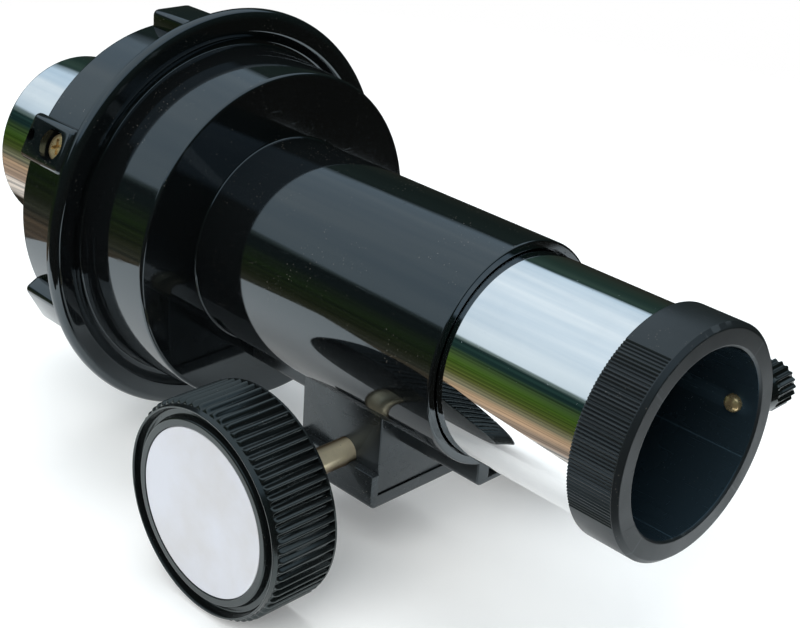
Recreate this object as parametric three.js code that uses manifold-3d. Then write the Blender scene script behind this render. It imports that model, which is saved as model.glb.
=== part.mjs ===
// Rack-and-pinion focuser for 1.25 inch eyepieces, as fitted to the back of a small telescope.
// Millimetres, +Z up. The optical axis is X, with +X towards the eyepiece.
// The origin is on the optical axis, in the plane where the end of the telescope tube butts
// against the flange. The model is drawn with the drawtube about a third of the way out.
import * as THREE from 'three';
import { mergeVertices } from 'three/addons/utils/BufferGeometryUtils.js';
import Module from 'manifold-3d';

const wasm = await Module();
wasm.setup();

// ---------------------------------------------------------------- driving dimensions

const EYEPIECE_R = 31.75 / 2;        // the standard 1.25 inch eyepiece bore
const RUNNING_GAP = 0.05;            // radial play of every sliding or turning fit
const FIT_GAP = 0.03;                // radial play of a pressed or screwed piece
const SMOOTH = 64;                   // facets round the large turned parts

// drawtube and eyepiece holder
const TUBE_R = 18.3;
const TUBE_WALL = 1.1;
const TUBE_BACK = -49.8;
const HOLDER_FRONT = 114.2;
const HOLDER_BACK = HOLDER_FRONT - 9.3;
const HOLDER_R = 19.9;
const TUBE_FRONT = HOLDER_FRONT - 7.0;
const SLEEVE_BACK = HOLDER_FRONT - 32;

// fixed body
const BARREL_R = 20.0;
const BARREL_FRONT = 76.5;
const STEP_R = 32.1;
const STEP_BASE_R = 33.2;
const STEP_FRONT = 17.45;
const RIM_R = 40.1;
const RIM_FRONT = 2.0;
const SPIGOT_R = 33.45;
const SPIGOT_WALL = 2.55;
const SPIGOT_BACK = -18.2;
const LUG_R = 36.5;
const LUG_WIDTH = 8.9;
const LUG_FRONT = -5.1;
const LUG_BACK = SPIGOT_BACK + 0.2;
const BODY_BORE_R = TUBE_R + RUNNING_GAP;
const MOUTH_R = 18.9;                // the bore's wider mouth at the barrel's front
const MOUTH_BACK = BARREL_FRONT - 3.0;

// rack and pinion
const MODULE = 0.8;
const PINION_TEETH = 14;
const RACK_TEETH = 35;
const PRESSURE = THREE.MathUtils.degToRad(20);
const PITCH = Math.PI * MODULE;
const PINION_PITCH_R = MODULE * PINION_TEETH / 2;
const PINION_TIP_R = PINION_PITCH_R + MODULE;
const PINION_X = 49.5;
const PINION_Z = -27.0;
const SHAFT_R = 2.5;
const RACK_PITCH_Z = PINION_Z + PINION_PITCH_R;
const RACK_ADDENDUM = 0.62;          // shortened, because the small pinion has no undercut
const DEDENDUM = 1.25 * MODULE;
const BACKLASH = 0.16;
const RACK_FRONT = BARREL_FRONT - 0.6;
const RACK_HALF_WIDTH = 2.8;
const RACK_TOP = -TUBE_R + 0.8;      // above the tube's underside, before the tube's room is cut

// rail under the barrel, pinion block and its cover
const RAIL_HALF_WIDTH = 5.9;
const RAIL_BOTTOM = -23.6;
const KEYWAY_HALF_WIDTH = 3.2;
const KEYWAY_FLOOR = -22.6;
const BLOCK_BACK = 37.5;
const BLOCK_FRONT = 57.8;
const BLOCK_HALF_WIDTH = 10.8;
const BLOCK_BOTTOM = -32.4;
const COVER_BOTTOM = -34.9;
const COVER_LIP_TOP = -28.6;
const COVER_HALF_WIDTH = 12.5;
const GEAR_HALF_WIDTH = 3.0;

// focusing knobs
const KNOB_R = 19.7;
const KNOB_BACK = 30.9;
const KNOB_FRONT = 44.0;
const KNOB_RIBS = 68;
const DISC_R = 15.1;

// thumbscrew, screwed into the holder from the +Y side
const THUMB_X = HOLDER_FRONT - 4.65;
const STUD_R = 1.5;
const STUD_TIP = 14.5;
const STUD_END = 24.7;
const THUMB_BACK = HOLDER_R + 0.25;
const THUMB_NECK_END = 23.2;
const THUMB_FRONT = 27.9;
const THUMB_R = 4.05;

const CUT = 1;                       // how far a cutter runs past the face it cuts through

// ---------------------------------------------------------------- shape helpers

// A closed geometry as a solid that can be added to and cut, with its faces turned outwards.
function toSolid(geometry) {
  const plain = geometry.clone();
  plain.deleteAttribute('normal');
  plain.deleteAttribute('uv');
  const welded = mergeVertices(plain, 1e-4);
  const vertProperties = new Float32Array(welded.attributes.position.array);
  const triVerts = new Uint32Array(welded.index.array);
  const solid = new wasm.Manifold(new wasm.Mesh({ numProp: 3, vertProperties, triVerts }));
  if (solid.volume() > 0) {
    return solid;
  }
  const flipped = triVerts.map((_, i) => triVerts[i - (i % 3) + 2 - (i % 3)]);
  return new wasm.Manifold(new wasm.Mesh({ numProp: 3, vertProperties, triVerts: flipped }));
}

// The finished solid as a geometry for a mesh.
function toGeometry(solid) {
  const mesh = solid.getMesh();
  const geometry = new THREE.BufferGeometry();
  geometry.setAttribute('position', new THREE.BufferAttribute(mesh.vertProperties, 3));
  geometry.setIndex(new THREE.BufferAttribute(mesh.triVerts, 1));
  geometry.computeVertexNormals();
  return geometry;
}

// A solid turned about X from a profile of [x, radius] points. The profile closes on itself,
// unless it starts and ends on the axis.
function turned(profile, segments = SMOOTH) {
  const points = profile.map(([x, radius]) => new THREE.Vector2(radius, x));
  const onAxis = profile[0][1] === 0;
  if (!onAxis) {
    points.push(points[0].clone());
  }
  const geometry = new THREE.LatheGeometry(points, segments);
  geometry.rotateZ(-Math.PI / 2);
  return toSolid(geometry);
}

// A plain cylinder along X.
function rod(from, to, radius, segments = SMOOTH) {
  return turned([[from, 0], [from, radius], [to, radius], [to, 0]], segments);
}

// A box from its limits along each axis.
function box([x0, x1], [y0, y1], [z0, z1]) {
  const geometry = new THREE.BoxGeometry(x1 - x0, y1 - y0, z1 - z0);
  geometry.translate((x0 + x1) / 2, (y0 + y1) / 2, (z0 + z1) / 2);
  return toSolid(geometry);
}

// An outline of [u, v] points extruded along +Z.
function extruded(outline, depth) {
  const shape = new THREE.Shape(outline.map(([u, v]) => new THREE.Vector2(u, v)));
  return toSolid(new THREE.ExtrudeGeometry(shape, { depth, bevelEnabled: false }));
}

// Turns a solid made along +X so that it points along +Y, or outwards at an angle in the YZ plane.
const alongY = (solid) => solid.rotate([0, 0, 90]);
const outwards = (solid, degrees) => solid.rotate([0, 0, 90]).rotate([degrees, 0, 0]);

const union = (solids) => solids.reduce((sum, solid) => sum.add(solid));
const without = (solid, cutters) => cutters.reduce((rest, cutter) => rest.subtract(cutter), solid);

// A screw pointing along -X, with the top of its head at x = 0 and a cross-shaped recess in it.
function crossScrew({ headR, headHeight, shankR, length }) {
  const segments = 16;
  const edge = 0.2;
  const screw = turned([
    [0, 0],
    [0, headR - edge],
    [-edge, headR],
    [-headHeight, headR],
    [-headHeight, shankR],
    [-length + edge, shankR],
    [-length, shankR - edge],
    [-length, 0],
  ], segments);
  const armLength = headR * 0.6;
  const armHalfWidth = headR * 0.14;
  const depth = headHeight * 0.55;
  const armA = box([-depth, CUT], [-armLength, armLength], [-armHalfWidth, armHalfWidth]);
  const armB = box([-depth, CUT], [-armHalfWidth, armHalfWidth], [-armLength, armLength]);
  return without(screw, [armA, armB]);
}

// ---------------------------------------------------------------- materials and nodes

const finish = (color, roughness, metalness) => ({ color, roughness, metalness });
const BLACK_PLASTIC = finish(0x0b0c0f, 0.12, 0.0);
const SATIN_BLACK = finish(0x1b2129, 0.42, 0.0);
const RIBBED_BLACK = finish(0x1a2226, 0.38, 0.0);
const CHROME = finish(0xe6e8ea, 0.05, 1.0);
const BRASS = finish(0x9c8a5e, 0.3, 1.0);
const YELLOW_BRASS = finish(0xb8965a, 0.28, 1.0);
const STEEL = finish(0x8d9196, 0.35, 1.0);
const SILVER_DISC = finish(0xdfe1e8, 0.25, 0.6);

const focuser = new THREE.Group();
focuser.name = 'rack_and_pinion_focuser';

function addNode(name, solid, look) {
  const mesh = new THREE.Mesh(toGeometry(solid), new THREE.MeshStandardMaterial(look));
  mesh.name = name;
  focuser.add(mesh);
}

// ---------------------------------------------------------------- fixed body

// Six lugs stand on the spigot, in two sets of three, 57 and 63 degrees apart by turns. The first
// set is drilled for the screws that hold the telescope tube.
const SCREWED_LUGS = [31.5, 151.5, 271.5];
const PLAIN_LUGS = [88.5, 208.5, 328.5];
const LUG_ANGLES = [...SCREWED_LUGS, ...PLAIN_LUGS];
const LUG_SCREW_X = -9.8;
const LUG_HOLE_R = 3.0;
const LUG_HOLE_FLOOR = 33.6;
const LUG_SHANK_R = 1.45;
const LUG_PILOT_X = -16.4;
const LUG_PILOT_R = 1.15;
const LUG_PILOT_DEPTH = 3.0;

function bodyShell() {
  const grooveOuterR = 35.3;
  const grooveFloor = 1.0;
  const edge = 0.5;
  const wall = 2.45;
  const sleeveR = 20.4;
  const sleeveBack = 4.0;
  const spigotBore = SPIGOT_R - SPIGOT_WALL;
  return turned([
    [BARREL_FRONT, MOUTH_R],
    [BARREL_FRONT, BARREL_R - edge / 2],
    [BARREL_FRONT - edge / 2, BARREL_R],
    [STEP_FRONT, BARREL_R],
    [STEP_FRONT, STEP_R - edge],
    [STEP_FRONT - edge, STEP_R],
    [RIM_FRONT, STEP_BASE_R],
    [grooveFloor, STEP_BASE_R],
    [grooveFloor, grooveOuterR],
    [RIM_FRONT, grooveOuterR + edge],
    [RIM_FRONT, RIM_R - 2 * edge],
    [RIM_FRONT - edge, RIM_R],
    [0, RIM_R],
    [0, SPIGOT_R],
    [SPIGOT_BACK, SPIGOT_R],
    [SPIGOT_BACK, spigotBore],
    [0, spigotBore],
    [STEP_FRONT - wall, STEP_R - wall],
    [STEP_FRONT - wall, sleeveR],
    [sleeveBack, sleeveR],
    [sleeveBack, BODY_BORE_R],
    [MOUTH_BACK, BODY_BORE_R],
    [MOUTH_BACK, MOUTH_R],
  ]);
}

function lug(degrees) {
  const root = SPIGOT_R - 1;
  const pad = box([LUG_BACK, LUG_FRONT], [root, LUG_R], [-LUG_WIDTH / 2, LUG_WIDTH / 2]);
  return pad.rotate([degrees, 0, 0]);
}

function lugHoles(degrees) {
  const segments = 24;
  const inside = SPIGOT_R - SPIGOT_WALL - CUT;
  const counterbore = rod(LUG_HOLE_FLOOR, LUG_R + CUT, LUG_HOLE_R, segments);
  const through = rod(inside, LUG_R, LUG_SHANK_R + FIT_GAP, segments);
  const pilot = rod(LUG_R - LUG_PILOT_DEPTH, LUG_R + CUT, LUG_PILOT_R, 12);
  return [
    outwards(counterbore, degrees).translate([LUG_SCREW_X, 0, 0]),
    outwards(through, degrees).translate([LUG_SCREW_X, 0, 0]),
    outwards(pilot, degrees).translate([LUG_PILOT_X, 0, 0]),
  ];
}

const COVER_SCREWS = [[42.3, -7.4], [42.3, 7.4], [55.0, -7.4], [55.0, 7.4]];
const COVER_SHANK_R = 1.2;
const COVER_SCREW_LENGTH = 7.0;
const COVER_HEAD_R = 2.2;
const COVER_HEAD_HEIGHT = 1.3;
const COVER_HEAD_Z = COVER_BOTTOM + 0.15;
const CAVITY_HALF_WIDTH = GEAR_HALF_WIDTH + 0.5;

// A cylinder along Y on the pinion's axis.
function onPinionAxis(from, to, radius, segments = 32) {
  return alongY(rod(from, to, radius, segments)).translate([PINION_X, 0, PINION_Z]);
}

// A cylinder along Z at one of the cover's screws.
function atCoverScrew([x, y], bottom, top, radius) {
  return rod(bottom, top, radius, 16).rotate([0, -90, 0]).translate([x, y, 0]);
}

function focuserBody() {
  const blockTop = -16;
  const embed = 1.5;
  const rail = box(
    [STEP_FRONT - 1, BARREL_FRONT],
    [-RAIL_HALF_WIDTH, RAIL_HALF_WIDTH],
    [RAIL_BOTTOM, -BARREL_R + embed],
  );
  const block = box(
    [BLOCK_BACK, BLOCK_FRONT],
    [-BLOCK_HALF_WIDTH, BLOCK_HALF_WIDTH],
    [BLOCK_BOTTOM, blockTop],
  );
  const outside = union([bodyShell(), rail, block, ...LUG_ANGLES.map(lug)]);

  const tubePassage = rod(STEP_FRONT, MOUTH_BACK, BODY_BORE_R);
  const mouth = rod(MOUTH_BACK, BARREL_FRONT + CUT, MOUTH_R);
  const keyway = box(
    [0, BARREL_FRONT + CUT],
    [-KEYWAY_HALF_WIDTH, KEYWAY_HALF_WIDTH],
    [KEYWAY_FLOOR, -TUBE_R + embed],
  );
  const gearRoom = PINION_TIP_R + 0.5;
  const gearCavity = box(
    [PINION_X - gearRoom, PINION_X + gearRoom],
    [-CAVITY_HALF_WIDTH, CAVITY_HALF_WIDTH],
    [BLOCK_BOTTOM - CUT, KEYWAY_FLOOR + CUT],
  );
  const bearingR = SHAFT_R + RUNNING_GAP;
  const acrossBlock = [-BLOCK_HALF_WIDTH - CUT, BLOCK_HALF_WIDTH + CUT];
  const bearing = onPinionAxis(...acrossBlock, bearingR);
  const bearingSlot = box(
    [PINION_X - bearingR, PINION_X + bearingR],
    acrossBlock,
    [BLOCK_BOTTOM - CUT, PINION_Z],
  );
  const tipRoom = 0.5;
  const screwHoleTop = COVER_HEAD_Z + COVER_SCREW_LENGTH + tipRoom;
  const screwHoles = COVER_SCREWS.map((at) => (
    atCoverScrew(at, BLOCK_BOTTOM - CUT, screwHoleTop, COVER_SHANK_R + FIT_GAP)
  ));
  return without(outside, [
    tubePassage, mouth, keyway, gearCavity, bearing, bearingSlot,
    ...screwHoles, ...SCREWED_LUGS.flatMap(lugHoles),
  ]);
}

addNode('focuser_body', focuserBody(), BLACK_PLASTIC);

SCREWED_LUGS.forEach((degrees, i) => {
  const sunk = 1.5;
  const headTop = LUG_R - sunk;
  const screw = crossScrew({
    headR: 2.55,
    headHeight: headTop - LUG_HOLE_FLOOR - FIT_GAP,
    shankR: LUG_SHANK_R,
    length: 6.6,
  });
  const placed = outwards(screw.translate([headTop, 0, 0]), degrees).translate([LUG_SCREW_X, 0, 0]);
  addNode(`lug_screw_${i + 1}`, placed, YELLOW_BRASS);
});

// ---------------------------------------------------------------- pinion cover

// A tray under the block. Its lips run up outside the block's sides, and two inner saddles
// fill the block's bearing slots and hold the shaft up.
function pinionCover() {
  const overhang = 0.3;
  const rounding = 0.8;
  const sideGap = 0.1;
  const saddleGap = 0.15;
  const saddleTop = PINION_Z - 0.9;
  const gearGap = 0.3;
  const screwGap = 0.15;
  const xRange = [BLOCK_BACK - overhang, BLOCK_FRONT + overhang];
  const innerY = BLOCK_HALF_WIDTH + sideGap;
  const outline = [
    [-COVER_HALF_WIDTH, COVER_LIP_TOP],
    [-COVER_HALF_WIDTH, COVER_BOTTOM + rounding],
    [-COVER_HALF_WIDTH + rounding, COVER_BOTTOM],
    [COVER_HALF_WIDTH - rounding, COVER_BOTTOM],
    [COVER_HALF_WIDTH, COVER_BOTTOM + rounding],
    [COVER_HALF_WIDTH, COVER_LIP_TOP],
    [innerY, COVER_LIP_TOP],
    [innerY, BLOCK_BOTTOM - FIT_GAP],
    [-innerY, BLOCK_BOTTOM - FIT_GAP],
    [-innerY, COVER_LIP_TOP],
  ];
  const tray = extruded(outline, xRange[1] - xRange[0])
    .rotate([90, 0, 0])
    .rotate([0, 0, 90])
    .translate([xRange[0], 0, 0]);
  const saddles = [-1, 1].map((side) => {
    const y = [side * (CAVITY_HALF_WIDTH + 0.3), side * (BLOCK_HALF_WIDTH - 0.2)];
    return box(
      [PINION_X - SHAFT_R + saddleGap, PINION_X + SHAFT_R - saddleGap],
      [Math.min(...y), Math.max(...y)],
      [BLOCK_BOTTOM - CUT, saddleTop],
    );
  });
  const shaftRoom = onPinionAxis(-COVER_HALF_WIDTH - CUT, COVER_HALF_WIDTH + CUT, SHAFT_R + RUNNING_GAP);
  const gearPocket = onPinionAxis(-CAVITY_HALF_WIDTH, CAVITY_HALF_WIDTH, PINION_TIP_R + gearGap);
  const headSeat = COVER_HEAD_Z + COVER_HEAD_HEIGHT + RUNNING_GAP;
  const headHoles = COVER_SCREWS.flatMap((at) => [
    atCoverScrew(at, COVER_BOTTOM - CUT, headSeat, COVER_HEAD_R + screwGap),
    atCoverScrew(at, COVER_BOTTOM - CUT, BLOCK_BOTTOM + CUT, COVER_SHANK_R + screwGap),
  ]);
  return without(union([tray, ...saddles]), [shaftRoom, gearPocket, ...headHoles]);
}

addNode('pinion_cover', pinionCover(), BLACK_PLASTIC);

COVER_SCREWS.forEach(([x, y], i) => {
  const screw = crossScrew({
    headR: COVER_HEAD_R,
    headHeight: COVER_HEAD_HEIGHT,
    shankR: COVER_SHANK_R,
    length: COVER_SCREW_LENGTH,
  });
  addNode(`cover_screw_${i + 1}`, screw.rotate([0, 90, 0]).translate([x, y, COVER_HEAD_Z]), STEEL);
});

// ---------------------------------------------------------------- drawtube and rack

const RACK_LENGTH = RACK_TEETH * PITCH;
const RACK_BACK = RACK_FRONT - RACK_LENGTH;
const RACK_ROOT_Z = RACK_PITCH_Z + DEDENDUM;
const RACK_SCREW_R = 0.9;
const RACK_HEAD_R = 1.9;
const RACK_HEAD_TOP = -TUBE_R + TUBE_WALL;
const RACK_SCREWS = [RACK_BACK + 8, RACK_FRONT - 8];

// The screw's cone-shaped head lies in the tube's wall, sunk from the inside. Its tip ends inside
// the bar, clear of the pinion's teeth.
function rackScrewShape(gap) {
  const headDepth = 0.95;
  const tip = RACK_ROOT_Z + 0.2;
  const profile = [
    [RACK_HEAD_TOP, 0],
    [RACK_HEAD_TOP, RACK_HEAD_R + gap],
    [RACK_HEAD_TOP - headDepth, RACK_SCREW_R + gap],
    [tip, RACK_SCREW_R + gap],
    [tip, 0],
  ];
  return turned(profile, 16).rotate([0, -90, 0]);
}

function drawtube() {
  const edge = 0.3;
  const boreR = TUBE_R - TUBE_WALL;
  const tube = turned([
    [TUBE_FRONT, boreR],
    [TUBE_FRONT, TUBE_R],
    [TUBE_BACK + edge, TUBE_R],
    [TUBE_BACK, TUBE_R - edge],
    [TUBE_BACK, boreR],
  ]);
  const headRoom = rod(RACK_HEAD_TOP - 0.01, RACK_HEAD_TOP + 0.3, RACK_HEAD_R + FIT_GAP, 16)
    .rotate([0, -90, 0]);
  const holes = RACK_SCREWS.flatMap((x) => [
    rackScrewShape(FIT_GAP).translate([x, 0, 0]),
    headRoom.translate([x, 0, 0]),
  ]);
  return without(tube, holes);
}

addNode('drawtube', drawtube(), CHROME);

// Straight-sided rack teeth pointing down, with a gap between two teeth above the pinion's axis.
function rack() {
  const tipZ = RACK_PITCH_Z - RACK_ADDENDUM;
  const flank = Math.tan(PRESSURE);
  const halfTooth = PITCH / 4 - BACKLASH / 4;
  const firstTooth = PINION_X + (Math.floor((RACK_BACK - PINION_X) / PITCH) + 1.5) * PITCH;
  const outline = [[RACK_BACK, RACK_TOP], [RACK_BACK, RACK_ROOT_Z]];
  for (let x = firstTooth; x + PITCH / 2 < RACK_FRONT; x += PITCH) {
    const rootHalf = halfTooth + flank * DEDENDUM;
    const tipHalf = halfTooth - flank * RACK_ADDENDUM;
    outline.push([x - rootHalf, RACK_ROOT_Z], [x - tipHalf, tipZ]);
    outline.push([x + tipHalf, tipZ], [x + rootHalf, RACK_ROOT_Z]);
  }
  outline.push([RACK_FRONT, RACK_ROOT_Z], [RACK_FRONT, RACK_TOP]);
  const bar = extruded(outline, 2 * RACK_HALF_WIDTH)
    .rotate([90, 0, 0])
    .translate([0, RACK_HALF_WIDTH, 0]);
  const tubeRoom = rod(RACK_BACK - CUT, RACK_FRONT + CUT, TUBE_R + 0.02);
  const screwHoles = RACK_SCREWS.map((x) => rackScrewShape(FIT_GAP).translate([x, 0, 0]));
  return without(bar, [tubeRoom, ...screwHoles]);
}

addNode('rack', rack(), STEEL);

RACK_SCREWS.forEach((x, i) => {
  const slot = box([x - 0.2, x + 0.2], [-3, 3], [RACK_HEAD_TOP - 0.4, RACK_HEAD_TOP + CUT]);
  const screw = rackScrewShape(0).translate([x, 0, 0]).subtract(slot);
  addNode(`rack_screw_${i + 1}`, screw, STEEL);
});

// ---------------------------------------------------------------- eyepiece holder

// Turned ring with a sleeve reaching into the drawtube. Its rim is ribbed for grip in two arcs.
const GRIP_ARCS = [[119.5, 204.1], [299.5, 344.5]];
const GRIP_STEP = 1.8;
const GRIP_DEPTH = 0.28;

function eyepieceHolder() {
  const chamfer = 0.8;
  const lip = 0.4;
  const sleeveR = TUBE_R - TUBE_WALL - FIT_GAP;
  const socketR = TUBE_R + FIT_GAP;
  const seat = TUBE_FRONT + FIT_GAP;
  const ring = turned([
    [HOLDER_FRONT, EYEPIECE_R + lip],
    [HOLDER_FRONT, HOLDER_R - chamfer],
    [HOLDER_FRONT - chamfer, HOLDER_R],
    [HOLDER_BACK, HOLDER_R],
    [HOLDER_BACK, socketR],
    [seat, socketR],
    [seat, sleeveR],
    [SLEEVE_BACK, sleeveR],
    [SLEEVE_BACK, EYEPIECE_R],
    [HOLDER_FRONT - lip, EYEPIECE_R],
  ]);
  const grooves = GRIP_ARCS.flatMap(([from, to]) => {
    const count = Math.round((to - from) / GRIP_STEP);
    return Array.from({ length: count }, (_, i) => gripGroove(from + i * GRIP_STEP));
  });
  const studHole = alongY(rod(EYEPIECE_R - CUT, HOLDER_R + CUT, STUD_R + RUNNING_GAP, 24))
    .translate([THUMB_X, 0, 0]);
  return without(ring, [...grooves, studHole]);
}

// One V-shaped groove along the holder's rim.
function gripGroove(degrees) {
  const halfWidth = 0.45;
  const over = 0.3;
  const land = 0.9;
  const outline = [
    [HOLDER_R - GRIP_DEPTH, 0],
    [HOLDER_R + over, -halfWidth],
    [HOLDER_R + over, halfWidth],
  ];
  const back = HOLDER_BACK - 0.1;
  return extruded(outline, HOLDER_FRONT - land - back)
    .rotate([90, 0, 0])
    .rotate([0, 0, 90])
    .translate([back, 0, 0])
    .rotate([degrees, 0, 0]);
}

addNode('eyepiece_holder', eyepieceHolder(), SATIN_BLACK);

// ---------------------------------------------------------------- thumbscrew

function thumbStud() {
  const rounding = 1.0;
  const profile = [
    [STUD_TIP, 0],
    [STUD_TIP, STUD_R - rounding],
    [STUD_TIP + rounding / 2, STUD_R - rounding / 6],
    [STUD_TIP + rounding, STUD_R],
    [STUD_END, STUD_R],
    [STUD_END, 0],
  ];
  return alongY(turned(profile, 24)).translate([THUMB_X, 0, 0]);
}

addNode('thumbscrew_stud', thumbStud(), YELLOW_BRASS);

// Outline of [u, v] points round the origin, with a flat-topped rib between narrow valleys.
function ribbedOutline(count, radius, depth) {
  const steps = [[0, depth], [0.3, 0], [0.7, 0]];
  return Array.from({ length: count }, (_, rib) => steps.map(([along, drop]) => {
    const angle = (rib + along) * 2 * Math.PI / count;
    return [(radius - drop) * Math.cos(angle), (radius - drop) * Math.sin(angle)];
  })).flat();
}

function thumbHead() {
  const neckR = 3.5;
  const neckEndR = 3.9;
  const flutes = 20;
  const fluteDepth = 0.4;
  const edge = 0.6;
  const innerEdge = 0.3;
  const overlap = 0.1;
  const gripR = THUMB_R + 0.05;      // just proud of the blank, which trims the ribs
  const blank = turned([
    [THUMB_NECK_END, 0],
    [THUMB_NECK_END, THUMB_R - innerEdge],
    [THUMB_NECK_END + innerEdge, THUMB_R],
    [THUMB_FRONT - edge, THUMB_R],
    [THUMB_FRONT, THUMB_R - edge],
    [THUMB_FRONT, 0],
  ], 40);
  const grip = extruded(ribbedOutline(flutes, gripR, fluteDepth), THUMB_FRONT - THUMB_NECK_END + CUT)
    .rotate([0, 90, 0])
    .translate([THUMB_NECK_END - overlap, 0, 0]);
  const neck = turned([
    [THUMB_BACK, 0],
    [THUMB_BACK, neckR],
    [THUMB_NECK_END, neckEndR],
    [THUMB_NECK_END + overlap, neckEndR],
    [THUMB_NECK_END + overlap, 0],
  ], 40);
  const studHole = rod(THUMB_BACK - CUT, STUD_END + FIT_GAP, STUD_R + FIT_GAP, 24);
  const head = union([blank.intersect(grip), neck]).subtract(studHole);
  return alongY(head).translate([THUMB_X, 0, 0]);
}

addNode('thumbscrew_head', thumbHead(), RIBBED_BLACK);

// ---------------------------------------------------------------- pinion, shaft and knobs

// Involute pinion with one tooth pointing straight up into the rack's gap.
function pinionGear() {
  const rootR = PINION_PITCH_R - DEDENDUM;
  const baseR = PINION_PITCH_R * Math.cos(PRESSURE);
  const involute = (angle) => Math.tan(angle) - angle;
  const halfTooth = (PITCH / 2 - BACKLASH / 2) / 2 / PINION_PITCH_R;
  const flankSteps = 3;
  const halfAngleAt = (radius) => {
    const slope = Math.acos(Math.min(1, baseR / radius));
    return halfTooth + involute(PRESSURE) - involute(slope);
  };
  const flank = Array.from({ length: flankSteps + 1 }, (_, i) => (
    baseR + (PINION_TIP_R - baseR) * i / flankSteps
  ));
  const tooth = [[rootR, halfAngleAt(baseR)], ...flank.map((radius) => [radius, halfAngleAt(radius)])];
  const outline = [];
  for (let i = 0; i < PINION_TEETH; i += 1) {
    const centre = Math.PI / 2 + i * 2 * Math.PI / PINION_TEETH;
    const rising = tooth.map(([radius, half]) => [radius, centre - half]);
    const falling = tooth.map(([radius, half]) => [radius, centre + half]).reverse();
    for (const [radius, angle] of [...rising, ...falling]) {
      outline.push([radius * Math.cos(angle), radius * Math.sin(angle)]);
    }
  }
  const gear = extruded(outline, 2 * GEAR_HALF_WIDTH)
    .rotate([90, 0, 0])
    .translate([PINION_X, GEAR_HALF_WIDTH, PINION_Z]);
  const hole = onPinionAxis(-GEAR_HALF_WIDTH - CUT, GEAR_HALF_WIDTH + CUT, SHAFT_R + FIT_GAP);
  return gear.subtract(hole);
}

addNode('pinion_gear', pinionGear(), BRASS);

const SHAFT_END = KNOB_FRONT - 4.5;
addNode('pinion_shaft', onPinionAxis(-SHAFT_END, SHAFT_END, SHAFT_R), BRASS);

const RECESS_FLOOR = KNOB_FRONT - 0.75;

// One knob along +X: a rounded rim, a groove and a raised ring round the recess for the disc,
// and ribs behind the rim.
function focusKnob() {
  const rimWidth = 1.3;
  const round = 1.1;
  const ribDepth = 0.55;
  const coreR = KNOB_R - 2 * ribDepth;
  const recessR = DISC_R + 0.15;
  const ringR = 16.3;
  const ringFront = KNOB_FRONT - 0.2;
  const grooveR = 17.6;
  const grooveFloor = KNOB_FRONT - 1.3;
  const ribsFront = KNOB_FRONT - rimWidth;
  const overlap = 0.3;
  const face = turned([
    [RECESS_FLOOR, 0],
    [RECESS_FLOOR, recessR],
    [ringFront, recessR],
    [ringFront, ringR - 0.4],
    [ringFront - 0.3, ringR],
    [grooveFloor, grooveR],
    [KNOB_FRONT - 0.3, grooveR + 0.6],
    [KNOB_FRONT, grooveR + 1.1],
    [KNOB_FRONT - round * 0.3, KNOB_R - round * 0.3],
    [KNOB_FRONT - round, KNOB_R],
    [ribsFront, KNOB_R],
    [ribsFront - ribDepth, coreR],
    [KNOB_BACK + CUT, coreR],
    [KNOB_BACK + CUT, 0],
  ], 60);
  const ribs = extruded(ribbedOutline(KNOB_RIBS, KNOB_R, ribDepth), ribsFront + overlap - KNOB_BACK)
    .rotate([0, 90, 0])
    .translate([KNOB_BACK, 0, 0]);
  const shaftHole = rod(KNOB_BACK - CUT, SHAFT_END + FIT_GAP, SHAFT_R + FIT_GAP, 32);
  return face.add(ribs).subtract(shaftHole);
}

function knobDisc() {
  const back = RECESS_FLOOR + 0.05;
  const front = back + 0.45;
  const edge = 0.1;
  return turned([
    [back, 0],
    [back, DISC_R],
    [front - edge, DISC_R],
    [front, DISC_R - edge],
    [front, 0],
  ], 48);
}

const knob = focusKnob();
const disc = knobDisc();
const SIDES = [['right', -90], ['left', 90]];
for (const [side, turn] of SIDES) {
  const place = (solid) => solid.rotate([0, 0, turn]).translate([PINION_X, 0, PINION_Z]);
  addNode(`focus_knob_${side}`, place(knob), RIBBED_BLACK);
  addNode(`knob_disc_${side}`, place(disc), SILVER_DISC);
}

export default focuser;
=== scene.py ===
"""Looks of the rack-and-pinion focuser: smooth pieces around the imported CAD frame.

Everything is worked out in millimetres in the frame's axes, and turned into metres as a mesh is
made. The optical axis is X, with the eyepiece end at +X, and the knobs' shaft runs along Y.
"""

import math

import bmesh
import bpy
import numpy as np
from mathutils import Matrix, Vector


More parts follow.
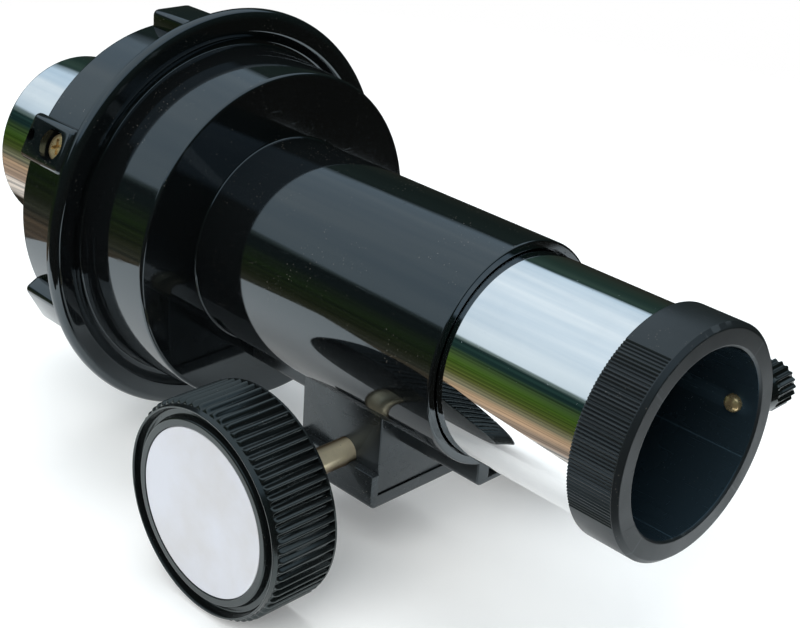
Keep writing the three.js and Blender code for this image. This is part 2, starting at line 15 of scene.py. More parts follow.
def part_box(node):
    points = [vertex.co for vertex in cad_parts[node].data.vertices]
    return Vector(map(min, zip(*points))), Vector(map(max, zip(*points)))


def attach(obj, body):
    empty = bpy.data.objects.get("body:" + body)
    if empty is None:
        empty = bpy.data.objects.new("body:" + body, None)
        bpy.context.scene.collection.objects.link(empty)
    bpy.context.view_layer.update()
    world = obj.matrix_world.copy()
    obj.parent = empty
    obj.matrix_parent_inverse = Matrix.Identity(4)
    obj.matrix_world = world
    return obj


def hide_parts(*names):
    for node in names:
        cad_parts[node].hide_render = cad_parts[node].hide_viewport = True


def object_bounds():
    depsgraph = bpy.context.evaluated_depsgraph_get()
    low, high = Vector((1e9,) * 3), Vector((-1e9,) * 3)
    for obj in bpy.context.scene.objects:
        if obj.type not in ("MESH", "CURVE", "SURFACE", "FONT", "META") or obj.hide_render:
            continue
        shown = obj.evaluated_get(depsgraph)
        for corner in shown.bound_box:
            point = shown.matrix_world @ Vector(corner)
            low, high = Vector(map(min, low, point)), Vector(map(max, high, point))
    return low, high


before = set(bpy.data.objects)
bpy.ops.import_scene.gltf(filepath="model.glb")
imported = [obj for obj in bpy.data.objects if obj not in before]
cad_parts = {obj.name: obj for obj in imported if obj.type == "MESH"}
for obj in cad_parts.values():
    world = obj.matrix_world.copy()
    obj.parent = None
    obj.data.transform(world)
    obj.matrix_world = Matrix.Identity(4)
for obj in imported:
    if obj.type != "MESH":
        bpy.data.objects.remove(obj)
cad_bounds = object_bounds()

MM = 0.001


# ---------------------------------------------------------------- sizes, from the frame

def limits(node):
    """Lowest and highest corner of a CAD node, in millimetres."""
    low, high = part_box(node)
    return low / MM, high / MM


def middle(node):
    low, high = limits(node)
    return (low + high) / 2


BODY_LOW, BODY_HIGH = limits("focuser_body")
TUBE_LOW, TUBE_HIGH = limits("drawtube")
HOLDER_LOW, HOLDER_HIGH = limits("eyepiece_holder")
COVER_LOW, COVER_HIGH = limits("pinion_cover")
KNOB_LOW, KNOB_HIGH = limits("focus_knob_left")
DISC_LOW, DISC_HIGH = limits("knob_disc_left")
SHAFT_LOW, SHAFT_HIGH = limits("pinion_shaft")
STUD_LOW, STUD_HIGH = limits("thumbscrew_stud")
THUMB_LOW, THUMB_HIGH = limits("thumbscrew_head")
GEAR_LOW, GEAR_HIGH = limits("pinion_gear")

RUNNING_GAP = 0.05
FIT_GAP = 0.03

# drawtube and holder
TUBE_R = TUBE_HIGH.z
TUBE_WALL = 1.1
TUBE_FRONT = TUBE_HIGH.x
TUBE_BACK = TUBE_LOW.x
HOLDER_R = HOLDER_HIGH.z
HOLDER_FRONT = HOLDER_HIGH.x
HOLDER_BACK = HOLDER_FRONT - 9.3
SLEEVE_BACK = HOLDER_LOW.x
EYEPIECE_R = 31.75 / 2

# fixed body
RIM_R = BODY_HIGH.z
RIM_FRONT = 2.0
BARREL_R = RIM_R / 2 - 0.05
BARREL_FRONT = BODY_HIGH.x
STEP_R = 32.1
STEP_BASE_R = 33.2
STEP_FRONT = 17.45
GROOVE_OUTER_R = 35.3
GROOVE_FLOOR = 1.0
SPIGOT_R = 33.45
SPIGOT_BORE_R = SPIGOT_R - 2.55
SPIGOT_BACK = BODY_LOW.x
LUG_R = 36.5
LUG_WIDTH = 8.9
LUG_FRONT = -5.1
SCREWED_LUGS = (31.5, 151.5, 271.5)
PLAIN_LUGS = (88.5, 208.5, 328.5)
LUG_SCREW_X = -9.8
LUG_SCREW_TOP = LUG_R - 1.5
LUG_HOLE_FLOOR = 33.6
LUG_HOLE_R = 3.0
LUG_SHANK_HOLE_R = 1.48
PILOT_HOLE_X = -16.4
PILOT_HOLE_R = 1.15
PILOT_HOLE_DEPTH = 3.0
BODY_BORE_R = TUBE_R + RUNNING_GAP
MOUTH_R = 18.55
MOUTH_BACK = BARREL_FRONT - 3.0

# rail, pinion block and cover
SHAFT_R = (SHAFT_HIGH.z - SHAFT_LOW.z) / 2
SHAFT_END = SHAFT_HIGH.y
PINION = middle("pinion_shaft")
RAIL_HALF_WIDTH = 5.9
RAIL_BOTTOM = -23.6
KEYWAY_HALF_WIDTH = 3.2
KEYWAY_FLOOR = -22.6
BLOCK_BACK = COVER_LOW.x + 0.3
BLOCK_FRONT = COVER_HIGH.x - 0.3
BLOCK_HALF_WIDTH = COVER_HIGH.y - 1.7
BLOCK_BOTTOM = COVER_LOW.z + 2.5
GEAR_R = (GEAR_HIGH.z - GEAR_LOW.z) / 2
GEAR_HALF_WIDTH = GEAR_HIGH.y
COVER_SCREW_HOLE_R = 1.23
COVER_SCREW_HOLE_DEPTH = 5.5

# knobs and thumbscrew
KNOB_R = (KNOB_HIGH.z - KNOB_LOW.z) / 2
KNOB_BACK = KNOB_LOW.y
KNOB_FRONT = KNOB_HIGH.y
KNOB_RIBS = 68
DISC_R = (DISC_HIGH.z - DISC_LOW.z) / 2
DISC_BACK = DISC_LOW.y
DISC_FRONT = DISC_HIGH.y
THUMB_X = middle("thumbscrew_stud").x
THUMB_R = (THUMB_HIGH.z - THUMB_LOW.z) / 2
THUMB_NECK_END = 23.2
STUD_R = (STUD_HIGH.z - STUD_LOW.z) / 2


# ---------------------------------------------------------------- camera

def aim_camera():
    """The viewpoint, fitted to the outlines of the turned parts. Its roll is about the view's axis."""
    target = Vector((34.8, 15.9, -13.5)) * MM
    distance = 305.4 * MM
    azimuth, elevation, roll = (math.radians(a) for a in (43.752, 25.722, 4.044))
    back = Vector((
        math.sin(azimuth) * math.cos(elevation),
        -math.cos(azimuth) * math.cos(elevation),
        math.sin(elevation),
    ))
    level = Vector((math.cos(azimuth), math.sin(azimuth), 0))
    upright = back.cross(level)
    right = math.cos(roll) * level + math.sin(roll) * upright
    up = math.cos(roll) * upright - math.sin(roll) * level
    data = bpy.data.cameras.new("camera")
    data.lens = 71.56
    data.sensor_width = 36
    data.clip_start = 0.01
    camera = bpy.data.objects.new("camera", data)
    bpy.context.scene.collection.objects.link(camera)
    turn = Matrix((right, up, back)).transposed().to_4x4()
    camera.matrix_world = Matrix.Translation(target + back * distance) @ turn
    bpy.context.scene.camera = camera


aim_camera()


# ---------------------------------------------------------------- mesh helpers

ARC_STEPS = 5
SMOOTH = 256
LONGEST_REACH = 0.38
HOLD_SHARE = 0.25


def soften(points, closed):
    """An outline of (along, radius, rounding) points, with its corners rounded.

    A rounding reaches along both lines that meet there, but never past LONGEST_REACH of a line.
    An extra point beside each end of it keeps the next surface flat when it is shaded.
    """
    path = []
    count = len(points)
    for i, (along, radius, rounding) in enumerate(points):
        here = Vector((along, radius))
        if rounding == 0 or (not closed and i in (0, count - 1)):
            path.append(here)
            continue
        back = Vector(points[i - 1][:2]) - here
        ahead = Vector(points[(i + 1) % count][:2]) - here
        reach = min(rounding, LONGEST_REACH * back.length, LONGEST_REACH * ahead.length)
        hold = HOLD_SHARE * reach
        back.normalize()
        ahead.normalize()
        path.append(here + back * (reach + hold))
        for step in range(ARC_STEPS + 1):
            t = step / ARC_STEPS
            path.append(here + back * reach * (1 - t) ** 2 + ahead * reach * t ** 2)
        path.append(here + ahead * (reach + hold))
    return path


def make_object(name, vertices, faces):
    """A mesh object from vertices in millimetres, with its faces turned outwards."""
    mesh = bpy.data.meshes.new(name)
    mesh.from_pydata((np.asarray(vertices) * MM).tolist(), [], faces)
    shape = bmesh.new()
    shape.from_mesh(mesh)
    if shape.calc_volume(signed=True) < 0:
        bmesh.ops.reverse_faces(shape, faces=shape.faces)
    shape.to_mesh(mesh)
    shape.free()
    piece = bpy.data.objects.new(name, mesh)
    bpy.context.scene.collection.objects.link(piece)
    return piece


def revolve(name, points, segments=SMOOTH, shape=None):
    """A solid turned about X from (along, radius, rounding) points.

    The outline closes on itself, unless it starts on the axis and ends there. shape(along,
    radius, angle) may change the radius, as ribs and grooves do.
    """
    closed = points[0][1] > 0
    path = soften(points, closed)
    along = np.array([p[0] for p in path])[:, None] + np.zeros(segments)
    radius = np.array([p[1] for p in path])[:, None] + np.zeros(segments)
    angle = np.arange(segments) * 2 * math.pi / segments + np.zeros_like(along)
    if shape:
        radius = shape(along, radius, angle)
    grid = np.stack([along, radius * np.cos(angle), radius * np.sin(angle)], axis=-1)
    vertices, rings = [], []
    for row, point in zip(grid, path):
        if point[1] == 0:
            rings.append([len(vertices)] * segments)
            vertices.append(row[0])
        else:
            rings.append(list(range(len(vertices), len(vertices) + segments)))
            vertices.extend(row)
    if closed:
        rings.append(rings[0])
    faces = []
    for first, second in zip(rings, rings[1:]):
        for j in range(segments):
            k = (j + 1) % segments
            corners = (first[j], second[j], second[k], first[k])
            faces.append(list(dict.fromkeys(corners)))
    return make_object(name, vertices, faces)


def rod(start, end, radius, segments=64):
    """A plain cylinder along X, for cutting."""
    return revolve("rod", [(start, 0, 0), (start, radius, 0), (end, radius, 0), (end, 0, 0)], segments)


def bevel(shape, edges, size, steps):
    bmesh.ops.bevel(shape, geom=edges, offset=size, segments=steps, profile=0.5, affect="EDGES")


def block(name, x, y, z, rounding=0.0, steps=3, low_rounding=0.0):
    """A box from its limits along each axis, with its edges rounded.

    low_rounding is a larger rounding for the two lower edges along X.
    """
    shape = bmesh.new()
    bmesh.ops.create_cube(shape, size=1)
    size = Vector((x[1] - x[0], y[1] - y[0], z[1] - z[0]))
    centre = Vector((x[0] + x[1], y[0] + y[1], z[0] + z[1])) / 2
    for vertex in shape.verts:
        vertex.co = Vector(a * b for a, b in zip(vertex.co, size)) + centre
    if low_rounding:
        low = []
        for edge in shape.edges:
            first, second = (vertex.co for vertex in edge.verts)
            if abs(first.x - second.x) > size.x / 2 and first.z < centre.z:
                low.append(edge)
        bevel(shape, low, low_rounding, 6)
    if rounding:
        sharp = [edge for edge in shape.edges if edge.calc_face_angle() > math.radians(40)]
        bevel(shape, sharp, rounding, steps)
    vertices = [vertex.co[:] for vertex in shape.verts]
    faces = [[vertex.index for vertex in face.verts] for face in shape.faces]
    shape.free()
    return make_object(name, vertices, faces)


def placed(piece, *moves):
    """The piece with its mesh turned and shifted by each matrix in turn. Shifts are in metres."""
    for move in moves:
        piece.data.transform(move)
    return piece


def turned(degrees, axis):
    return Matrix.Rotation(math.radians(degrees), 4, axis)


def shifted(x=0.0, y=0.0, z=0.0):
    return Matrix.Translation(Vector((x, y, z)) * MM)


def combine(target, others, operation):
    """Adds the other solids to the target, or cuts them out of it, and removes them."""
    for other in others:
        modifier = target.modifiers.new(operation, "BOOLEAN")
        modifier.operation = operation
        modifier.solver = "MANIFOLD"
        modifier.object = other
    depsgraph = bpy.context.evaluated_depsgraph_get()
    mesh = bpy.data.meshes.new_from_object(target.evaluated_get(depsgraph))
    target.modifiers.clear()
    target.data = mesh
    for other in others:
        bpy.data.objects.remove(other)
    return target


def cut(target, *cutters):
    return combine(target, cutters, "DIFFERENCE")


def join(target, *others):
    return combine(target, others, "UNION")


def dress(piece, body, nodes, material, sharp=33):
    """Shades a finished piece, gives it its material and its place in the frame."""
    piece.data.materials.clear()
    piece.data.materials.append(material)
    piece.data.shade_smooth()
    piece.data.set_sharp_from_angle(angle=math.radians(sharp))
    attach(piece, body)
    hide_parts(*nodes)
    return piece


# ---------------------------------------------------------------- material helpers

class Nodes:
    """A node tree being built, with all its patterns placed by one vector."""

    def __init__(self, tree, coordinates):
        self.tree = tree
        self.place = self.node("ShaderNodeTexCoord").outputs[coordinates]

    def node(self, kind, inputs=None, **settings):
        made = self.tree.nodes.new(kind)
        for key, value in settings.items():
            setattr(made, key, value)
        for key, value in (inputs or {}).items():
            self.feed(made.inputs[key], value)
        return made

    def feed(self, socket, value):
        if isinstance(value, bpy.types.NodeSocket):
            self.tree.links.new(value, socket)
        else:
            socket.default_value = value

    def stretched(self, x=1.0, y=1.0, z=1.0, turn=(0, 0, 0)):
        """The placing vector scaled along each axis, which makes lines of a noise."""
        inputs = {"Vector": self.place, "Scale": (x, y, z), "Rotation": turn}
        return self.node("ShaderNodeMapping", inputs).outputs["Vector"]

    def noise(self, scale, detail=2.0, roughness=0.5, place=None):
        inputs = {
            "Vector": place or self.place,
            "Scale": scale,
            "Detail": detail,
            "Roughness": roughness,
        }
        return self.node("ShaderNodeTexNoise", inputs).outputs["Fac"]

    def cells(self, scale):
        inputs = {"Vector": self.place, "Scale": scale}
        return self.node("ShaderNodeTexVoronoi", inputs).outputs["Distance"]

    def remap(self, value, low, high, to_low=0.0, to_high=1.0):
        inputs = {
            "Value": value,
            "From Min": low,
            "From Max": high,
            "To Min": to_low,
            "To Max": to_high,
        }
        return self.node("ShaderNodeMapRange", inputs).outputs["Result"]

    def math(self, operation, first, second=0.0):
        return self.node("ShaderNodeMath", {0: first, 1: second}, operation=operation).outputs["Value"]

    def blend(self, share, first, second, mode="MIX"):
        """Two colours mixed or multiplied, by a share from 0 to 1."""
        made = self.node("ShaderNodeMix", data_type="RGBA", blend_type=mode)
        self.feed(made.inputs["Factor"], share)
        for socket, value in zip([s for s in made.inputs if s.type == "RGBA"], (first, second)):
            self.feed(socket, value)
        return next(s for s in made.outputs if s.type == "RGBA")

    def ramp(self, value, stops):
        """A colour that runs through (position, colour) stops."""
        made = self.node("ShaderNodeValToRGB", {"Fac": value})
        elements = made.color_ramp.elements
        elements.remove(elements[1])
        elements[0].position, elements[0].color = stops[0]
        for position, colour in stops[1:]:
            elements.new(position).color = colour
        return made.outputs["Color"]


class Surface(Nodes):
    """A material being built, with its patterns placed by the object's own coordinates."""

    INPUTS = {"colour": "Base Color", "ior": "IOR", "specular": "Specular IOR Level"}

    def __init__(self, name):
        self.material = bpy.data.materials.new(name)
        self.material.use_nodes = True
        super().__init__(self.material.node_tree, "Object")
        self.shader = self.tree.nodes["Principled BSDF"]
        self.geometry = self.node("ShaderNodeNewGeometry")
        self.bumps = []

    def set(self, **inputs):
        for key, value in inputs.items():
            name = self.INPUTS.get(key, key.replace("_", " ").title())
            self.feed(self.shader.inputs[name], value)

    def edges(self, low=0.52, high=0.6):
        """1 on edges that stick out, 0 elsewhere."""
        return self.remap(self.geometry.outputs["Pointiness"], low, high)

    def hollows(self, low=0.48, high=0.4):
        """1 in grooves and corners, 0 elsewhere."""
        return self.remap(self.geometry.outputs["Pointiness"], low, high)

    def bump(self, height, depth):
        """Adds relief of that depth in millimetres."""
        self.bumps.append((height, depth))

    def done(self):
        normal = None
        for height, depth in self.bumps:
            inputs = {"Height": height, "Distance": depth * MM, "Strength": 1.0}
            if normal:
                inputs["Normal"] = normal
            normal = self.node("ShaderNodeBump", inputs).outputs["Normal"]
        if normal:
            self.set(normal=normal)
        return self.material


def grey(value, tint=(1.0, 1.0, 1.0)):
    return tuple(value * t for t in tint) + (1.0,)


COOL = (0.88, 1.02, 1.10)
GREENISH = (0.88, 1.04, 1.06)
TEAL = (0.55, 0.95, 1.25)
WARM = (1.1, 1.0, 0.86)


def moulded_black(name, darkness, gloss, tint, grain, grain_depth, dust=0.4, shine=0.5):
    """Black moulded plastic: faint flow waves, fine grain, smudges, hairline scratches, dust, and
    lighter edges that are partly wear and partly a painted highlight.

    gloss is its roughness where it is clean, and shine how strongly it reflects.
    """
    s = Surface(name)
    smudges = s.remap(s.noise(55, 4, 0.62), 0.42, 0.68)
    hairlines = s.remap(s.noise(1.0, 2, 0.5, s.stretched(130, 2600, 2600, (0.3, 0.5, 0.2))), 0.66, 0.74)
    crossing = s.remap(s.noise(1.0, 2, 0.5, s.stretched(2400, 150, 2400, (0.1, 0.2, 0.7))), 0.68, 0.76)
    scratches = s.math("MAXIMUM", hairlines, crossing)
    specks = s.remap(s.cells(1300), 0.16, 0.08)
    patches = s.remap(s.noise(140, 3, 0.6), 0.5, 0.7)
    dusty = s.math("MULTIPLY", s.math("MULTIPLY", specks, patches), dust)
    # Edges that stick out are painted lighter: partly wear, partly a painted highlight along them.
    edge_wear_and_highlight = s.math("MULTIPLY", s.edges(), 0.35)
    colour = s.blend(edge_wear_and_highlight, grey(darkness, tint), grey(darkness * 5 + 0.02, tint))
    colour = s.blend(dusty, colour, grey(0.32, WARM))
    rough = s.math("ADD", s.math("MULTIPLY", smudges, gloss * 0.5), gloss)
    rough = s.math("ADD", rough, s.math("MULTIPLY", scratches, 0.10))
    rough = s.math("ADD", rough, s.math("MULTIPLY", dusty, 0.4))
    s.set(colour=colour, roughness=rough, ior=1.5, specular=shine, specular_tint=grey(1.0, tint))
    s.bump(s.noise(75, 2, 0.4), 0.012)
    s.bump(s.noise(grain, 3, 0.6), grain_depth)
    s.bump(scratches, -0.0012)
    return s.done()


def mirror_plating(name):
    """Bright plating: wiping marks, hairlines along the slide, and slightly wavy reflections."""
    s = Surface(name)
    wiped = s.remap(s.noise(42, 5, 0.65), 0.45, 0.72)
    along = s.remap(s.noise(1.0, 2, 0.5, s.stretched(55, 3000, 3000)), 0.62, 0.74)
    round_marks = s.remap(s.noise(1.0, 2, 0.5, s.stretched(3600, 90, 90)), 0.66, 0.78)
    pits = s.remap(s.cells(700), 0.1, 0.05)
    marks = s.math("MAXIMUM", along, s.math("MULTIPLY", round_marks, 0.6))
    rough = s.math("ADD", s.math("MULTIPLY", wiped, 0.035), 0.018)
    rough = s.math("ADD", rough, s.math("MULTIPLY", marks, 0.05))
    rough = s.math("ADD", rough, s.math("MULTIPLY", pits, 0.2))
    colour = s.blend(wiped, grey(0.93, (0.985, 1.0, 1.01)), grey(0.86, (0.98, 1.0, 1.02)))
    s.set(colour=colour, metallic=1.0, roughness=rough)
    s.bump(s.noise(48, 2, 0.4), 0.02)
    s.bump(marks, -0.0006)
    return s.done()


def metal(name, base, dark, rough, lines, metallic=1.0, shaded=0.0):
    """Turned metal: fine tool lines across the given stretch, with tarnish in patches.

    shaded paints shade into its colour where it turns away from the eye, darkest at its outline.
    """
    s = Surface(name)
    turning = s.noise(1.0, 3, 0.6, s.stretched(*lines))
    tarnish = s.remap(s.noise(160, 4, 0.6), 0.4, 0.7, 0.0, 0.5)
    # Darker in grooves and corners, by pointiness.
    hollow_darkening = s.math("MULTIPLY", s.hollows(), 0.6)
    share = s.math("MAXIMUM", s.math("MULTIPLY", tarnish, 0.55), hollow_darkening)
    # Painted shade: the colour darkens as the surface turns away from the eye, so the middle of a rod
    # reads as a painted highlight.
    facing = s.node("ShaderNodeLayerWeight", {"Blend": 0.5}).outputs["Facing"]
    share = s.math("MAXIMUM", share, s.remap(facing, 0.26, 0.62, 0.0, shaded))
    s.set(colour=s.blend(share, (*base, 1), (*dark, 1)), metallic=metallic)
    spread = s.math("ADD", s.math("MULTIPLY", turning, 0.14), rough - 0.07)
    s.set(roughness=s.math("ADD", spread, s.math("MULTIPLY", tarnish, 0.12)))
    s.bump(turning, 0.0015)
    s.bump(s.noise(900, 3, 0.6), 0.001)
    return s.done()


def silver_foil(name):
    """Fine-grained pale silver, nearly white, with faint cloudy marks."""
    s = Surface(name)
    clouds = s.remap(s.noise(70, 4, 0.6), 0.4, 0.7)
    grain = s.noise(5200, 2, 0.7)
    s.set(colour=s.blend(clouds, grey(0.64, (0.97, 0.98, 1.06)), grey(0.57, (1.0, 0.98, 1.0))))
    s.set(metallic=0.25, roughness=s.math("ADD", s.math("MULTIPLY", grain, 0.2), 0.3))
    s.bump(grain, 0.003)
    return s.done()


GLOSS_BLACK = moulded_black(
    "gloss_black_plastic", darkness=0.004, gloss=0.045, tint=COOL, grain=1500, grain_depth=0.0006,
    shine=1.0,
)
BLOCK_BLACK = moulded_black(
    "block_black_plastic", darkness=0.008, gloss=0.24, tint=COOL, grain=2600, grain_depth=0.004,
    shine=0.7,
)
SATIN_BLACK = moulded_black(
    "satin_black_plastic", darkness=0.012, gloss=0.30, tint=COOL, grain=3200, grain_depth=0.003,
)
BORE_BLACK = moulded_black(
    "bore_black_plastic", darkness=0.022, gloss=0.20, tint=TEAL, grain=2200, grain_depth=0.001,
    dust=0.2,
)
RIBBED_BLACK = moulded_black(
    "ribbed_black_plastic", darkness=0.005, gloss=0.15, tint=GREENISH, grain=2600, grain_depth=0.0008,
    dust=0.25, shine=0.6,
)
CHROME = mirror_plating("chrome_plating")
# The shaft's sides get full painted shade, which leaves a painted highlight down its middle.
SHAFT_BRASS = metal(
    "antique_brass_with_painted_shade", base=(1.0, 0.88, 0.62), dark=(0.16, 0.11, 0.06), rough=0.30,
    lines=(900, 3200, 900), metallic=0.6, shaded=1.0,
)
YELLOW_BRASS = metal(
    "yellow_brass", base=(0.90, 0.70, 0.38), dark=(0.55, 0.38, 0.17), rough=0.25,
    lines=(900, 900, 900), metallic=0.85,
)
STEEL = metal(
    "plated_steel", base=(0.60, 0.61, 0.62), dark=(0.34, 0.33, 0.32), rough=0.28,
    lines=(4200, 300, 300),
)
DISC_SILVER = silver_foil("disc_silver")


# ---------------------------------------------------------------- black body

def body_outline():
    """Half section of the shell: barrel, step, flange, spigot and the inside."""
    wall = 2.45
    sleeve_r = 20.4
    sleeve_back = 4.0
    return [
        (BARREL_FRONT, MOUTH_R, 0.12),
        (BARREL_FRONT, BARREL_R, 0.3),
        (STEP_FRONT, BARREL_R, 0.35),
        (STEP_FRONT, STEP_R, 0.55),
        (RIM_FRONT, STEP_BASE_R, 0.2),
        (GROOVE_FLOOR, STEP_BASE_R + 0.2, 0.3),
        (GROOVE_FLOOR, GROOVE_OUTER_R - 0.8, 0.5),
        (RIM_FRONT, GROOVE_OUTER_R + 0.4, 0.6),
        (RIM_FRONT, RIM_R - 1.3, 0.8),
        (RIM_FRONT - 0.5, RIM_R - 0.3, 0.4),
        (RIM_FRONT - 1.2, RIM_R, 0.3),
        (0, RIM_R, 0.2),
        (0, SPIGOT_R, 0.3),
        (SPIGOT_BACK, SPIGOT_R, 0.4),
        (SPIGOT_BACK, SPIGOT_BORE_R, 0.3),
        (0, SPIGOT_BORE_R, 0.5),
        (STEP_FRONT - wall, STEP_R - wall, 0.6),
        (STEP_FRONT - wall, sleeve_r, 0.5),
        (sleeve_back, sleeve_r, 0.3),
        (sleeve_back, BODY_BORE_R, 0.2),
        (MOUTH_BACK, BODY_BORE_R, 0.15),
        (MOUTH_BACK, MOUTH_R, 0.15),
    ]


def lug(degrees):
    half = LUG_WIDTH / 2
    root = SPIGOT_R - 2.2
    pad = block("lug", (SPIGOT_BACK + 0.2, LUG_FRONT), (root, LUG_R), (-half, half), 1.2, 5)
    return placed(pad, turned(degrees, "X"))


def lug_hole(degrees, along, bottom, top, radius):
    return placed(rod(bottom, top, radius), turned(90, "Z"), turned(degrees, "X"), shifted(along))


def on_pinion_axis(start, end, radius, segments=96):
    return placed(rod(start, end, radius, segments), turned(90, "Z"), shifted(PINION.x, 0, PINION.z))


def cover_screw_places():
    return [middle(f"cover_screw_{i}") for i in (1, 2, 3, 4)]


def make_body():
    over = 1.0
    body = revolve("focuser_shell", body_outline())
    rail = block(
        "rail",
        (STEP_FRONT - over, BARREL_FRONT),
        (-RAIL_HALF_WIDTH, RAIL_HALF_WIDTH),
        (RAIL_BOTTOM, -BARREL_R + 1.5),
        0.3,
        low_rounding=1.1,
    )
    pinion_block = block(
        "pinion_block",
        (BLOCK_BACK, BLOCK_FRONT),
        (-BLOCK_HALF_WIDTH, BLOCK_HALF_WIDTH),
        (BLOCK_BOTTOM, -16),
        0.3,
    )
    join(body, rail, pinion_block, *(lug(a) for a in SCREWED_LUGS + PLAIN_LUGS))
    room = GEAR_R + 0.5
    room_width = GEAR_HALF_WIDTH + 0.5
    bearing_r = SHAFT_R + RUNNING_GAP
    across = BLOCK_HALF_WIDTH + over
    cutters = [
        rod(STEP_FRONT, MOUTH_BACK, BODY_BORE_R, SMOOTH),
        rod(MOUTH_BACK, BARREL_FRONT + over, MOUTH_R, SMOOTH),
        block(
            "keyway",
            (0, BARREL_FRONT + over),
            (-KEYWAY_HALF_WIDTH, KEYWAY_HALF_WIDTH),
            (KEYWAY_FLOOR, -TUBE_R + 1.5),
        ),
        block(
            "gear_room",
            (PINION.x - room, PINION.x + room),
            (-room_width, room_width),
            (BLOCK_BOTTOM - over, KEYWAY_FLOOR + over),
        ),
        on_pinion_axis(-across, across, bearing_r),
        block(
            "bearing_slot",
            (PINION.x - bearing_r, PINION.x + bearing_r),
            (-across, across),
            (BLOCK_BOTTOM - over, PINION.z),
        ),
    ]
    for place in cover_screw_places():
        hole = rod(BLOCK_BOTTOM - over, BLOCK_BOTTOM + COVER_SCREW_HOLE_DEPTH, COVER_SCREW_HOLE_R, 32)
        cutters.append(placed(hole, turned(-90, "Y"), shifted(place.x, place.y)))
    for degrees in SCREWED_LUGS:
        for along, bottom, top, radius in (
            (LUG_SCREW_X, LUG_HOLE_FLOOR, LUG_R + over, LUG_HOLE_R),
            (LUG_SCREW_X, SPIGOT_BORE_R - over, LUG_R, LUG_SHANK_HOLE_R),
            (PILOT_HOLE_X, LUG_R - PILOT_HOLE_DEPTH, LUG_R + over, PILOT_HOLE_R),
        ):
            cutters.append(lug_hole(degrees, along, bottom, top, radius))
    cut(body, *cutters)
    dress(body, "body", ["focuser_body"], GLOSS_BLACK)
    body.data.materials.append(BLOCK_BLACK)
    for face in body.data.polygons:
        centre = face.center / MM
        low = centre.z < -BARREL_R + 1.0 and centre.x > STEP_FRONT + 0.2
        if low and math.hypot(centre.y, centre.z) > BARREL_R + 0.05:
            face.material_index = 1


make_body()


def make_cover():
    over = 1.0
    side_gap = 0.1
    inner = BLOCK_HALF_WIDTH + side_gap
    across = COVER_HIGH.y + over
    tray = block(
        "pinion_block_cover",
        (COVER_LOW.x, COVER_HIGH.x),
        (COVER_LOW.y, COVER_HIGH.y),
        (COVER_LOW.z, COVER_HIGH.z),
        0.3,
        low_rounding=1.3,
    )
    trough = block(
        "trough",
        (COVER_LOW.x - over, COVER_HIGH.x + over),
        (-inner, inner),
        (BLOCK_BOTTOM - FIT_GAP, COVER_HIGH.z + over),
    )
    cut(tray, trough)
    saddle_half = SHAFT_R - 0.15
    saddles = []
    for side in (-1, 1):
        ends = sorted((side * (GEAR_HALF_WIDTH + 0.8), side * (BLOCK_HALF_WIDTH - 0.2)))
        saddles.append(block(
            "saddle",
            (PINION.x - saddle_half, PINION.x + saddle_half),
            ends,
            (BLOCK_BOTTOM - over, PINION.z - 0.9),
        ))
    join(tray, *saddles)
    gear_half = GEAR_HALF_WIDTH + 0.5
    cutters = [
        on_pinion_axis(-across, across, SHAFT_R + RUNNING_GAP),
        on_pinion_axis(-gear_half, gear_half, GEAR_R + 0.3),
    ]
    for place in cover_screw_places():
        for top, radius in ((COVER_LOW.z + 1.5, 2.35), (BLOCK_BOTTOM + over, 1.35)):
            hole = rod(COVER_LOW.z - over, top, radius, 48)
            cutters.append(placed(hole, turned(-90, "Y"), shifted(place.x, place.y)))
    cut(tray, *cutters)
    dress(tray, "body", ["pinion_cover"], BLOCK_BLACK)


make_cover()


# ---------------------------------------------------------------- screws

def cross_screw(name, head_r, head_height, shank_r, length):
    """A screw pointing along -X, its domed head's top at x = 0, with a cross recess."""
    screw = revolve(name, [
        (0, 0, 0),
        (0, head_r * 0.75, 0.2),
        (-0.25, head_r, 0.15),
        (-head_height, head_r, 0.1),
        (-head_height, shank_r, 0.1),
        (-length, shank_r, 0.3),
        (-length, 0, 0),
    ], 48)
    arm, half, depth = head_r * 0.6, head_r * 0.14, head_height * 0.6
    return cut(
        screw,
        block("arm", (-depth, 1), (-arm, arm), (-half, half)),
        block("arm", (-depth, 1), (-half, half), (-arm, arm)),
    )


def make_screws():
    for i, degrees in enumerate(SCREWED_LUGS):
        node = f"lug_screw_{i + 1}"
        screw = cross_screw(f"{node}_brass", 2.55, LUG_SCREW_TOP - LUG_HOLE_FLOOR - FIT_GAP, 1.45, 6.6)
        placed(
            screw,
            turned(22, "X"),
            shifted(LUG_SCREW_TOP),
            turned(90, "Z"),
            turned(degrees, "X"),
            shifted(LUG_SCREW_X),
        )
        dress(screw, "body", [node], YELLOW_BRASS)
    for i, place in enumerate(cover_screw_places()):
        node = f"cover_screw_{i + 1}"
        low, high = limits(node)
        screw = cross_screw(f"{node}_steel", (high.x - low.x) / 2, 1.3, 1.2, high.z - low.z)
        placed(screw, turned(15 + 40 * i, "X"), turned(90, "Y"), shifted(place.x, place.y, low.z))
        dress(screw, "body", [node], STEEL)


make_screws()


# ---------------------------------------------------------------- drawtube and holder

